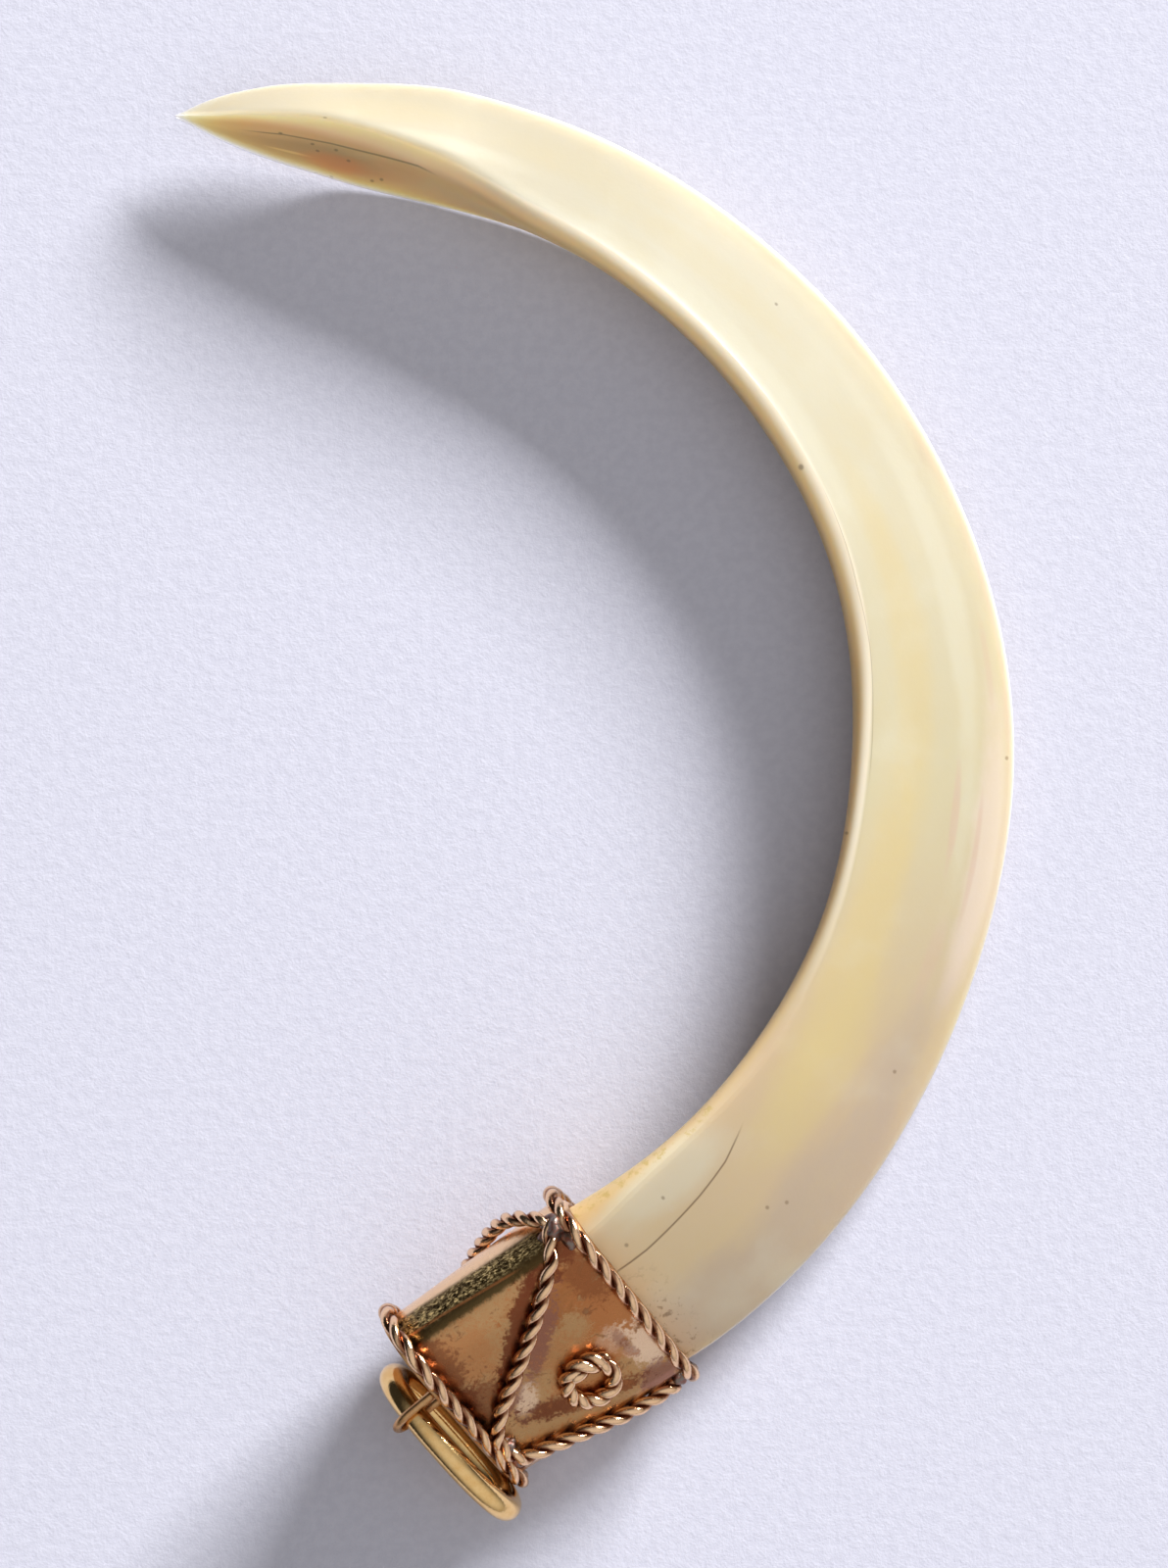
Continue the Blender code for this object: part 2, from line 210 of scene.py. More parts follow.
paper_finish = Finish("paper", Roughness=0.9, Specular_IOR_Level=0.2)
mottle = paper_finish.place.grain(1.1, 4.0, 0.6)
tooth = paper_finish.place.grain(3.8, 3.0, 0.6)
paper_finish.drive(Base_Color=mottle.step(0.35, 0.65).mix(PAPER_SHADE, PAPER_TONE),
                   Normal=(mottle * 0.6 + tooth * 0.4).bump(0.3, 0.22))
paper_mesh = bpy.data.meshes.new("paper")
paper_mesh.from_pydata([(-PAPER_REACH, -PAPER_REACH, 0), (PAPER_REACH, -PAPER_REACH, 0),
                        (PAPER_REACH, PAPER_REACH, 0), (-PAPER_REACH, PAPER_REACH, 0)],
                       [], [(0, 1, 2, 3)])
link("paper", paper_mesh, paper_finish)

# The light: one large soft box high behind the tip makes the long soft shadow, and a dim
# room, brighter towards the lower right, fills it and shows in the gold.
KEY_HEADING = math.radians(55)
KEY_ELEVATION = math.radians(18.8)
KEY_DISTANCE = 4000 * MM
KEY_SIZE = (1650 * MM, 850 * MM)
KEY_POWER = 372.0
ROOM_DARK = 0.03
ROOM_GLOW = 0.68
GLOW_DIRECTION = (0.35, -0.42, 0.84)


def add_soft_box(name, heading, elevation, distance, size, power):
    """A rectangular light that looks at the middle of the pendant."""
    data = bpy.data.lights.new(name, "AREA")
    data.shape = "RECTANGLE"
    data.size, data.size_y = size
    data.energy = power
    item = bpy.data.objects.new(name, data)
    flat = math.cos(elevation)
    toward = Vector((flat * math.cos(heading), flat * math.sin(heading), math.sin(elevation)))
    item.location = toward * distance
    item.rotation_euler = toward.to_track_quat("Z", "Y").to_euler()
    scene.collection.objects.link(item)


add_soft_box("key", KEY_HEADING, KEY_ELEVATION, KEY_DISTANCE, KEY_SIZE, KEY_POWER)
world = bpy.data.worlds.new("room")
world.use_nodes = True
scene.world = world
room = Socket(world.node_tree)
sight = room.node("ShaderNodeTexCoord", output="Generated")
glow = sight.vector("DOT_PRODUCT", sight, GLOW_DIRECTION, output="Value").step(0.1, 1.0)
background = world.node_tree.nodes["Background"]
world.node_tree.links.new((glow * ROOM_GLOW + ROOM_DARK).output, background.inputs["Strength"])
background.inputs["Color"].default_value = (1.0, 0.99, 0.98, 1.0)

# The tusk: a wild boar's lower tooth, grown in a curl with a rounded three-sided section,
# and polished. A worn facet cuts its inner side towards the tip.
CURL_CENTRE = Vector((-17.63, 4.85, 0.0)) * MM
MOUTH_ANGLE = -66.7
TIP_ANGLE = 109.1
BASE_ANGLE = -82.8
CENTRE_RADIUS = [(-66.7, 51.05), (-52, 49.52), (-36, 48.08), (-12, 47.13), (20, 47.4), (36, 47.87),
                 (52, 48.87), (68, 50.4), (84, 52.1), (94, 53.5), (102, 55.55), (109.1, 57.9)]
HALF_WIDTH = [(-84, 8.0), (-66.7, 8.6), (-48, 8.12), (-24, 7.35), (0, 7.2), (24, 6.32), (44, 5.78),
              (64, 5.2), (78, 5.1), (88, 4.9), (96, 4.0), (102, 3.0), (106, 1.75), (109.1, 0.2)]
TOP_EDGE_HEIGHT = [(-84, 12.5), (-66.7, 13.2), (-30, 9.4), (0, 8.0), (45, 7.6), (66, 7.6),
                   (80, 8.0), (90, 8.0), (98, 7.1), (104, 5.8), (109.1, 4.1)]
BOTTOM_EDGE_HEIGHT = [(-84, 3.3), (-66.7, 3.8), (-40, 1.9), (-10, 0.3), (20, 0.12), (55, 0.085),
                      (80, 0.07), (90, 0.085), (94, 0.3), (98, 1.0), (104, 2.3), (109.1, 3.7)]
KEEL_HEIGHT = [(-84, 3.2), (-66.7, 3.6), (-30, 2.4), (-5, 2.8), (20, 3.8), (45, 4.8), (65, 5.1),
               (80, 4.9), (90, 4.4), (98, 4.0), (104, 3.8), (109.1, 3.9)]
TOP_EDGE_INSET = [(-84, 2.9), (-68, 2.8), (-60, 1.5), (-36, 1.4), (-20, 1.2), (-5, 1.3), (12, 1.75),
                  (40, 1.9), (66, 1.8), (76, 2.3), (86, 3.8), (93, 4.4), (99, 3.9), (104, 2.6),
                  (109.1, 0.3)]
BOTTOM_EDGE_INSET = [(-84, 2.2), (-50, 2.0), (-20, 1.2), (30, 1.3), (66, 1.0), (80, 0.4), (109.1, 0.1)]
# The ridge's polished crest: its height along the tusk, and how wide it is on either side
CREST_HEIGHT = [(-84, 0.0), (10, 0.0), (28, 0.10), (40, 0.17), (70, 0.14), (80, 0.08), (86, 0.0)]
CREST_WIDTH = 0.32
CREST_DROP = 3.0
# The inner face's shoulder, which ends where the worn facet begins
SHOULDER = [(-84, 1.0), (50, 1.0), (66, 1.0), (74, 0.85), (84, 0.3), (96, 0.0), (109.1, 0.0)]
SHOULDER_DROP = [(-84, 2.6), (-68, 2.6), (-58, 1.7), (-50, 1.6), (-40, 1.6), (109.1, 1.6)]
SHOULDER_POWER = 2.7
TOP_EDGE_SHARPNESS = [(-84, 30), (50, 30), (66, 30), (76, 14), (84, 5.5), (92, 4), (109.1, 4)]
BOTTOM_EDGE_SHARPNESS = [(-84, 4), (-40, 7), (40, 8), (109.1, 8)]
KEEL_SHARPNESS = [(-84, 4), (-50, 5), (0, 7), (60, 6.5), (109.1, 5)]
CAP_HEADING = math.radians(-53.1)
CAP_SPAN_PER_DEGREE = 1.02
CAP_DRIFT = -1.0 / 18.0
CAP_LEAN = 0.02
CAP_LEAN_HEIGHT = 7.0 * MM
CAP_BLEND_START = -60.0
BEND_REACH = 1.0 * MM
TUSK_COUNTS = (60, 36, 44)
TUSK_CROWDING = 1.5
WAVE_DEPTH = 0.06 * MM
SKIN_INSET = 0.03 * MM


def smooth_value(knots, x):
    """Value of a smooth curve through the knots, level beyond its two ends."""
    xs, ys = zip(*knots)
    if x <= xs[0]:
        return ys[0]
    if x >= xs[-1]:
        return ys[-1]
    slopes = np.gradient(ys, xs)
    i = int(np.searchsorted(xs, x, side="right")) - 1
    span = xs[i + 1] - xs[i]
    t = (x - xs[i]) / span
    start = (1 + 2 * t) * (1 - t) ** 2 * ys[i] + t * (1 - t) ** 2 * span * slopes[i]
    end = t * t * (3 - 2 * t) * ys[i + 1] - t * t * (1 - t) * span * slopes[i + 1]
    return float(start + end)


def heading_vector(heading):
    return Vector((math.cos(heading), math.sin(heading), 0.0))


CAP_SIDE = heading_vector(CAP_HEADING)
CAP_AXIS = heading_vector(CAP_HEADING - math.pi / 2)


def curl_point(angle):
    """Plan point of the tusk's centre line at an angle about the curl's centre."""
    radius = smooth_value(CENTRE_RADIUS, angle) * MM
    return CURL_CENTRE + heading_vector(math.radians(angle)) * radius


MOUTH_CENTRE = curl_point(MOUTH_ANGLE)


def station(angle):
    """Centre, side direction and lean of the section at one place of the tusk."""
    if angle < MOUTH_ANGLE:
        depth = (MOUTH_ANGLE - angle) * CAP_SPAN_PER_DEGREE * MM
        centre = MOUTH_CENTRE + CAP_AXIS * depth + CAP_SIDE * (depth * CAP_DRIFT)
        return centre, CAP_SIDE, CAP_AXIS * CAP_LEAN
    along = curl_point(angle + 0.5) - curl_point(angle - 0.5)
    heading = math.atan2(-along.x, along.y)
    blend = min(1.0, max(0.0, (CAP_BLEND_START - angle) / (CAP_BLEND_START - MOUTH_ANGLE)))
    heading = heading * (1 - blend) + CAP_HEADING * blend
    return curl_point(angle), heading_vector(heading), CAP_AXIS * (CAP_LEAN * blend)


def swell(dense, steps, widest, drop, shoulder):
    """Gives the inner face a rounded shoulder under the top edge, out to the tusk's full
    width, and a wall from there down to the bottom edge."""
    low = dense[2 * steps].copy()
    high = dense[0]
    waist = np.array((widest, high[1] - drop))
    middle = np.array((widest, (low[1] + waist[1]) / 2))
    lower = steps // 2
    t = np.linspace(0, 1, lower, endpoint=False)[:, None]
    wall = low * (1 - t) ** 2 + middle * 2 * t * (1 - t) + waist * t ** 2
    turn = np.linspace(0, math.pi / 2, steps - lower, endpoint=False)
    reach = (high[0] - widest, drop)
    arc = np.column_stack((high[0] - reach[0] * np.cos(turn) ** (2 / SHOULDER_POWER),
                           waist[1] + reach[1] * np.sin(turn) ** (2 / SHOULDER_POWER)))
    flat = low + (high - low) * np.linspace(0, 1, steps, endpoint=False)[:, None]
    dense[2 * steps:] = flat * (1 - shoulder) + np.vstack((wall, arc)) * shoulder


def soften(dense):
    """Rounds the outline's corners, as sheet metal bends round them."""
    shift = np.roll(dense, -1, axis=0) - dense
    pace = np.linalg.norm(shift, axis=1)
    run = np.concatenate(([0], np.cumsum(pace)[:-1]))
    apart = np.abs(run[:, None] - run[None, :])
    apart = np.minimum(apart, pace.sum() - apart)
    weight = np.exp(-0.5 * (apart / BEND_REACH) ** 2) * ((pace + np.roll(pace, 1)) / 2)[None, :]
    return (weight @ dense) / weight.sum(axis=1)[:, None]


def section(angle, counts, lift=0.0, crowding=1.0):
    """Rounded three-sided section as rows of (side, height) in metres, starting at the top
    edge: the top face, the underside from the keel, and the inner face back up. Crowding
    above 1 gathers the points near the top edge."""
    half_width = smooth_value(HALF_WIDTH, angle) * MM
    wanted = np.array([
        (smooth_value(TOP_EDGE_INSET, angle) * MM - half_width,
         smooth_value(TOP_EDGE_HEIGHT, angle) * MM),
        (half_width, smooth_value(KEEL_HEIGHT, angle) * MM),
        (smooth_value(BOTTOM_EDGE_INSET, angle) * MM - half_width,
         smooth_value(BOTTOM_EDGE_HEIGHT, angle) * MM)])
    power = np.array([smooth_value(knots, angle) for knots in
                      (TOP_EDGE_SHARPNESS, KEEL_SHARPNESS, BOTTOM_EDGE_SHARPNESS)])
    pole = wanted.mean(axis=0)
    corners = (wanted - pole) * (2 ** (1 / power))[:, None]
    edges = np.roll(corners, -1, axis=0) - corners
    normals = np.column_stack((-edges[:, 1], edges[:, 0]))
    faces = normals / (normals * corners).sum(axis=1)[:, None]
    turns = np.arctan2(corners[:, 1], corners[:, 0])
    steps = 90
    t = np.arange(steps) / steps
    dense = []
    for i in range(3):
        after = (i + 1) % 3
        sweep = (turns[after] - turns[i]) % (2 * math.pi) - 2 * math.pi
        turn = turns[i] + sweep * t
        sharp = power[i] * (1 - t) + power[after] * t
        rays = np.column_stack((np.cos(turn), np.sin(turn)))
        total = (np.maximum(0.0, rays @ faces.T) ** sharp[:, None]).sum(axis=1)
        dense.append(pole + rays * (total ** (-1 / sharp))[:, None])
    dense = np.vstack(dense)
    swell(dense, steps, -half_width, smooth_value(SHOULDER_DROP, angle) * MM,
          smooth_value(SHOULDER, angle))
    if lift > 0:
        dense = soften(dense)
    tangent = np.roll(dense, -1, axis=0) - np.roll(dense, 1, axis=0)
    tangent /= np.linalg.norm(tangent, axis=1)[:, None]
    dense = dense + lift * np.column_stack((-tangent[:, 1], tangent[:, 0]))
    points = []
    for i, count in enumerate(counts):
        span = np.vstack((dense, dense[:1]))[i * steps:(i + 1) * steps + 1]
        run = np.concatenate(([0], np.cumsum(np.linalg.norm(np.diff(span, axis=0), axis=1))))
        share = np.arange(count) / count
        if i == 0:
            share = share ** crowding
        if i == 2:
            share = 1 - (1 - share) ** crowding
        points.append(np.column_stack([np.interp(share * run[-1], run, span[:, k])
                                       for k in (0, 1)]))
    return np.vstack(points)


def ring_points(angle, counts, lift=0.0, crowding=1.0):
    """The section's points in place, lifted off the tusk's surface."""
    centre, outward, lean = station(angle)
    return [centre + outward * side + UP * height + lean * (height - CAP_LEAN_HEIGHT)
            for side, height in section(angle, counts, lift, crowding)]


def ridge_distances(ring):
    """How far each point of a ring lies from the top edge, in millimetres round the section:
    above 0 over the top face and the underside, below 0 over the inner face."""
    track = np.array([tuple(point) for point in ring + ring[:1]])
    run = np.concatenate(([0], np.cumsum(np.linalg.norm(np.diff(track, axis=0), axis=1)))) / MM
    distances = run[:-1]
    inner = sum(TUSK_COUNTS[:2])
    distances[inner:] -= run[-1]
    return distances


def skin(name, rings, closed=False, ends=True):
    """Mesh skinned over rings of equal point count, round along or with flat ends."""
    bm = bmesh.new()
    loops = [[bm.verts.new(point) for point in ring] for ring in rings]
    pairs = list(zip(loops, loops[1:] + loops[:1])) if closed else list(zip(loops, loops[1:]))
    for one, two in pairs:
        for i in range(len(one)):
            j = (i + 1) % len(one)
            bm.faces.new((one[i], one[j], two[j], two[i]))
    if ends and not closed:
        bm.faces.new(loops[0][::-1])
        bm.faces.new(loops[-1])
    bmesh.ops.recalc_face_normals(bm, faces=bm.faces)
    mesh = bpy.data.meshes.new(name)
    bm.to_mesh(mesh)
    bm.free()
    mesh.shade_smooth()
    return mesh


def raise_surface(mesh, height):
    """Moves each point along its normal by what height(point) gives, in metres."""
    moves = [vertex.normal * height(vertex.co) for vertex in mesh.vertices]
    for vertex, move in zip(mesh.vertices, moves):
        vertex.co += move
    mesh.update()


def paint(mesh, name, values):
    """Keeps one number for each point of the mesh, for its material."""
    layer = mesh.attributes.new(name, "FLOAT", "POINT")
    layer.data.foreach_set("value", np.asarray(values, dtype=np.float32))


tusk_angles = list(np.linspace(BASE_ANGLE, MOUTH_ANGLE, 12, endpoint=False))
tusk_angles += list(np.linspace(MOUTH_ANGLE, 98.0, 390, endpoint=False))
tusk_angles += list(np.linspace(98.0, TIP_ANGLE, 60))
tusk_rings = [ring_points(angle, TUSK_COUNTS, 0.0, TUSK_CROWDING) for angle in tusk_angles]
ridge_run = [ridge_distances(ring) for ring in tusk_rings]
for angle, ring, run in zip(tusk_angles, tusk_rings, ridge_run):
    crest = smooth_value(CREST_HEIGHT, angle) * MM
    for i, away in enumerate(run):
        width = CREST_WIDTH if away >= 0 else CREST_DROP
        ring[i] = ring[i] + UP * (crest * math.exp(-abs(away) / width))
tusk_mesh = skin("ivory", tusk_rings)
raise_surface(tusk_mesh, lambda p: -SKIN_INSET - WAVE_DEPTH * (0.5 + 0.5 * noise.noise(p / (9 * MM))))
paint(tusk_mesh, "along", np.repeat(tusk_angles, sum(TUSK_COUNTS)))
across = [section(angle, TUSK_COUNTS, 0.0, TUSK_CROWDING)[:, 0]
          / (smooth_value(HALF_WIDTH, angle) * MM) for angle in tusk_angles]
paint(tusk_mesh, "across", np.concatenate(across))
paint(tusk_mesh, "ridge", np.concatenate(ridge_run))

# Enamel tones from the mouth of the cap to the tip; the darker tone around 85 degrees is painted shade that
# damps the key light's highlight there
ENAMEL = [(-70, (0.60, 0.48, 0.30, 1.0)), (-38, (0.52, 0.40, 0.265, 1.0)),
          (-5, (0.54, 0.48, 0.32, 1.0)), (25, (0.555, 0.505, 0.37, 1.0)),
          (60, (0.60, 0.56, 0.445, 1.0)), (85, (0.47, 0.42, 0.31, 1.0)),
          (100, (0.49, 0.435, 0.32, 1.0))]
HONEY = (0.58, 0.47, 0.24, 1.0)
CREAM = (0.63, 0.60, 0.48, 1.0)
ROSE = (0.55, 0.40, 0.31, 1.0)
ROSE_GREY = (0.46, 0.37, 0.295, 1.0)
RIM_SHADE_BEIGE = (0.49, 0.405, 0.30, 1.0)
PINK_CREAM = (0.67, 0.57, 0.51, 1.0)
# Inner face: painted light shining through the thin ridge, fading to painted shade towards the inner silhouette
INNER_GLOW_CREAM = (0.82, 0.73, 0.58, 1.0)
INNER_GLOW_GOLD = (0.90, 0.72, 0.42, 1.0)
INNER_SHADE_TAN = (0.58, 0.42, 0.21, 1.0)
# Near the tip: painted light along the ridge, and the worn facet's tan, which also serves as painted shade of
# the inner face
FACET_GLOW_CREAM = (0.97, 0.80, 0.52, 1.0)
FACET_AND_SHADE_TAN = (0.82, 0.61, 0.28, 1.0)
PALE_YELLOW = (0.88, 0.66, 0.30, 1.0)
STAIN_ORANGE = (0.80, 0.36, 0.13, 1.0)
STAIN_AND_SHADE_BROWN = (0.46, 0.30, 0.14, 1.0)
CRACK_BROWN = (0.16, 0.10, 0.05, 1.0)
EARTH_YELLOW = (0.42, 0.31, 0.08, 1.0)
# Stains and bands of colour, and painted shade: the beige band along the outer rim and the brown strip along
# the facet's lower edge. Each is (place, half size) as (degrees along, share of the half width across), then
# the tone and how strong it is
TUSK_PATCHES = [
    ((10, -0.22), (24, 0.26), HONEY, 0.45), ((-24, -0.42), (22, 0.36), HONEY, 0.65),
    ((-36, -0.15), (14, 0.34), HONEY, 0.6), ((57, 0.1), (14, 0.25), HONEY, 0.16),
    ((73, 0.35), (8, 0.30), HONEY, 0.14), ((90, 0.45), (9, 0.25), HONEY, 0.14),
    ((14, 0.44), (30, 0.17), CREAM, 0.4), ((-9, 0.74), (17, 0.20), PINK_CREAM, 0.6),
    ((52, -0.5), (26, 0.20), CREAM, 0.5), ((88, 0.0), (14, 0.16), CREAM, 0.3),
    ((-51, 0.68), (24, 0.52), ROSE_GREY, 0.6), ((-33, 0.52), (10, 0.30), ROSE_GREY, 0.35),
    # The beige band along the outer rim and the brown strip along the facet's lower edge are painted shade
    ((40, 1.04), (50, 0.24), RIM_SHADE_BEIGE, 0.8), ((97, -1.0), (13, 0.12), STAIN_AND_SHADE_BROWN, 0.6),
    ((-7, 0.31), (6, 0.05), ROSE, 0.55), ((-11, 0.62), (7, 0.04), ROSE, 0.5),
    ((8, 0.74), (5, 0.05), ROSE, 0.3), ((-22, 0.42), (5, 0.10), ROSE, 0.35),
    ((0, 0.95), (26, 0.08), ROSE, 0.35), ((-57, -0.70), (9, 0.30), CREAM, 0.5)]
# Fine lines: the route as (degrees along, share across), the width and how dark it is
TUSK_LINES = [
    ([(-68.5, -0.18), (-62.8, -0.22), (-58.7, -0.28), (-55.2, -0.33), (-50.8, -0.41),
      (-45.9, -0.57)], 0.015, 0.75),
    ([(-6, -0.78), (4.6, -0.755), (11.4, -0.73), (18.6, -0.745), (28, -0.70), (34, -0.68)], 0.010, 0.3),
    ([(84.5, -0.58), (87.1, -0.47), (90.9, -0.40), (95.5, -0.33), (99.9, -0.31),
      (104, -0.38)], 0.022, 0.5)]
# Small pits and dirt specks, as (degrees along, share across)
TUSK_SPECKS = [(33.8, -0.83), (-51.2, 0.27), (-49.6, 0.39), (-33.4, 0.56), (-64.0, -0.38),
               (-58.2, -0.56), (49.1, 0.37), (96.2, 0.14), (100.1, -0.29), (97.2, -0.40),
               (96.7, -0.51), (95.0, -0.43), (93.8, -0.57), (95.3, -0.92), (91.5, -0.81),
               (90.6, -0.76), (-1.2, 0.9), (-10.8, -0.97)]

tusk_finish = Finish("ivory", IOR=1.48, Specular_IOR_Level=0.3, Coat_Roughness=0.12,
                     Subsurface_Weight=1.0, Subsurface_Scale=2.8 * MM,
                     Subsurface_Radius=(1.0, 0.9, 0.72))
along = tusk_finish.attribute("along")
side = tusk_finish.attribute("across")
ridge = tusk_finish.attribute("ridge")
chart = along.node("ShaderNodeCombineXYZ", {}, {0: along, 1: side})
flow = along.node("ShaderNodeCombineXYZ", {}, {
    0: along * 0.10, 1: side * 2.0 + along * 0.01, 2: tusk_finish.place.parts()[2] * 0.15})
wisps = flow.grain(1.0, 5.0, 0.62)
clouds = tusk_finish.place.grain(0.13, 3.0, 0.55)
ivory_tone = along.ramp(ENAMEL)
for place, size, tone, strength in TUSK_PATCHES:
    ragged = chart.oval(place, size) + (wisps - 0.5) * 1.1
    ivory_tone = (ragged.step(1.25, 0.45) * strength).mix(ivory_tone, tone)
ivory_tone = (wisps.step(0.45, 0.75) * 0.16).mix(ivory_tone, HONEY)
ivory_tone = (clouds.step(0.5, 0.8) * 0.3).mix(ivory_tone, CREAM)
# Painted light and shade on the inner face: a pale cream band along the ridge and gold below it stand for light
# shining through the ridge, then a tan painted shade towards the inner silhouette
ivory_tone = (ridge.step(0.3, -0.1) * along.step(-40, 0)).mix(ivory_tone, INNER_GLOW_CREAM)
ivory_tone = (ridge.step(-0.4, -1.4) * along.step(-50, -10)).mix(ivory_tone, INNER_GLOW_GOLD)
ivory_tone = (ridge.step(-0.2, -1.3) * along.step(22, 4) * 0.8).mix(ivory_tone, INNER_SHADE_TAN)
ivory_tone = ridge.step(-1.2, -2.4).mix(ivory_tone, INNER_SHADE_TAN)
# Near the tip, saturated cream along the ridge is painted light shining through it; the tan below is the worn
# facet's own tone and, from 50 degrees on, a lighter painted shade of the inner face
ivory_tone = (ridge.step(0.7, -0.2) * along.step(78, 88)).mix(ivory_tone, FACET_GLOW_CREAM)
worn = ridge - along.step(94, 106) * 1.6
ivory_tone = (worn.step(-1.2, -2.8) * along.step(50, 72)).mix(ivory_tone, FACET_AND_SHADE_TAN)
for place, size, tone, strength in [((98, -0.62), (9, 0.30), STAIN_AND_SHADE_BROWN, 0.55),
                                    ((99.3, -0.65), (2.2, 0.03), PALE_YELLOW, 0.7),
                                    ((95, -0.66), (3.4, 0.18), STAIN_ORANGE, 0.5),
                                    ((90, -0.62), (4.5, 0.18), STAIN_ORANGE, 0.25)]:
    ragged = chart.oval(place, size) + (wisps - 0.5) * 0.9
    ivory_tone = (ragged.step(1.2, 0.4) * strength).mix(ivory_tone, tone)
cracks = 0.0
for route, width, dark in TUSK_LINES:
    start, end = route[0][0], route[-1][0]
    fade = (end - start) * 0.15
    line = abs(side - along.curve(route) + (wisps - 0.5) * 0.01).step(width, width * 0.25)
    cracks = line * along.step(start, start + fade) * along.step(end, end - fade) * dark + cracks
ivory_tone = cracks.mix(ivory_tone, CRACK_BROWN)
nearest = chart.oval(TUSK_SPECKS[0], (0.42, 0.05))
for place in TUSK_SPECKS[1:]:
    nearest = nearest.math("MINIMUM", nearest, chart.oval(place, (0.24, 0.028)))
specks = nearest.step(1.1, 0.4) * 0.5
ivory_tone = specks.mix(ivory_tone, CRACK_BROWN)
dirt = (abs(side + 0.95 + (wisps - 0.5) * 0.1).step(0.09, 0.01)
        * along.step(-41, -50) * tusk_finish.place.grain(1.3, 4.0, 0.7).step(0.5, 0.62))
ivory_tone = (dirt * 0.6).mix(ivory_tone, EARTH_YELLOW)
grime = tusk_finish.place.grain(1.5, 4.0, 0.75).step(0.54, 0.66) * along.step(-61.5, -65.5)
ivory_tone = (grime * side.step(-0.4, 0.6) * 0.7).mix(ivory_tone, CRACK_BROWN)
polish = abs(ridge).step(1.2, 0.4) * along.step(24, 36) * along.step(86, 78)
fine = tusk_finish.place.grain(2.5, 3.0, 0.6)
tusk_finish.drive(Base_Color=ivory_tone, Roughness=0.42 - polish * 0.1 + wisps * 0.1,
                  Coat_Weight=polish,
                  Normal=(wisps * 0.3 + fine * 0.15 - cracks * 0.8 - specks * 0.6).bump(0.25, 0.2))
ivory = link("ivory", tusk_mesh, tusk_finish)
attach(ivory, "pendant")
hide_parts("tusk")

# The cap's sleeve: gold sheet, bent round the tusk's base to its three-sided shape and
# soldered along the side. Its mouth is rubbed down onto the ivory all round.
SLEEVE_LIFT = 1.25 * MM
SLEEVE_COUNTS = (96, 96, 56)
# Profile of the sheet: (depth into the cap, lift off the ivory), outside first
SLEEVE_PROFILE = [(17.9, 1.25), (15.0, 1.25), (12.0, 1.25), (9.0, 1.25), (6.0, 1.25), (3.0, 1.25),
                  (1.2, 1.25), (0.4, 1.22), (-0.1, 1.08), (-0.45, 0.8), (-0.6, 0.5), (-0.55, 0.3),
                  (-0.3, 0.22), (0.5, 0.3), (1.5, 0.6), (6.0, 0.75), (12.0, 0.75), (17.9, 0.75)]
DENT_DEPTH = 0.09 * MM


def depth_angle(depth):
    """Station angle of a depth in millimetres, measured into the cap from its mouth."""
    return MOUTH_ANGLE - depth / CAP_SPAN_PER_DEGREE


sleeve_rings = [ring_points(depth_angle(depth), SLEEVE_COUNTS, lift * MM)
                for depth, lift in SLEEVE_PROFILE]
sleeve_mesh = skin("cap_sheet", sleeve_rings, closed=True)
raise_surface(sleeve_mesh, lambda p: -DENT_DEPTH * abs(noise.noise(p / (5 * MM))))

sleeve_places = [(depth, section(depth_angle(depth), SLEEVE_COUNTS, lift * MM)[:, 0] / MM)
                 for depth, lift in SLEEVE_PROFILE]
paint(sleeve_mesh, "depth", np.repeat([depth for depth, _ in sleeve_places], sum(SLEEVE_COUNTS)))
paint(sleeve_mesh, "side", np.concatenate([sides for _, sides in sleeve_places]))

GOLD = (0.57, 0.335, 0.155, 1.0)
PALE_GOLD = (1.0, 0.73, 0.53, 1.0)
EDGE_REFLECTION_PEACH = (0.96, 0.65, 0.38, 1.0)
COPPER = (0.55, 0.21, 0.075, 1.0)
RUST = (0.44, 0.15, 0.045, 1.0)
COPPER_RED = (0.20, 0.055, 0.025, 1.0)
PURPLE_BROWN = (0.32, 0.14, 0.105, 1.0)
OLIVE_DARK_REFLECTION = (0.085, 0.058, 0.02, 1.0)
SCRATCH_GOLD = (1.0, 0.76, 0.36, 1.0)
# Heading of the zigzag's first leg over the sheet, from the cap's axis
LEG_HEADING = 0.71
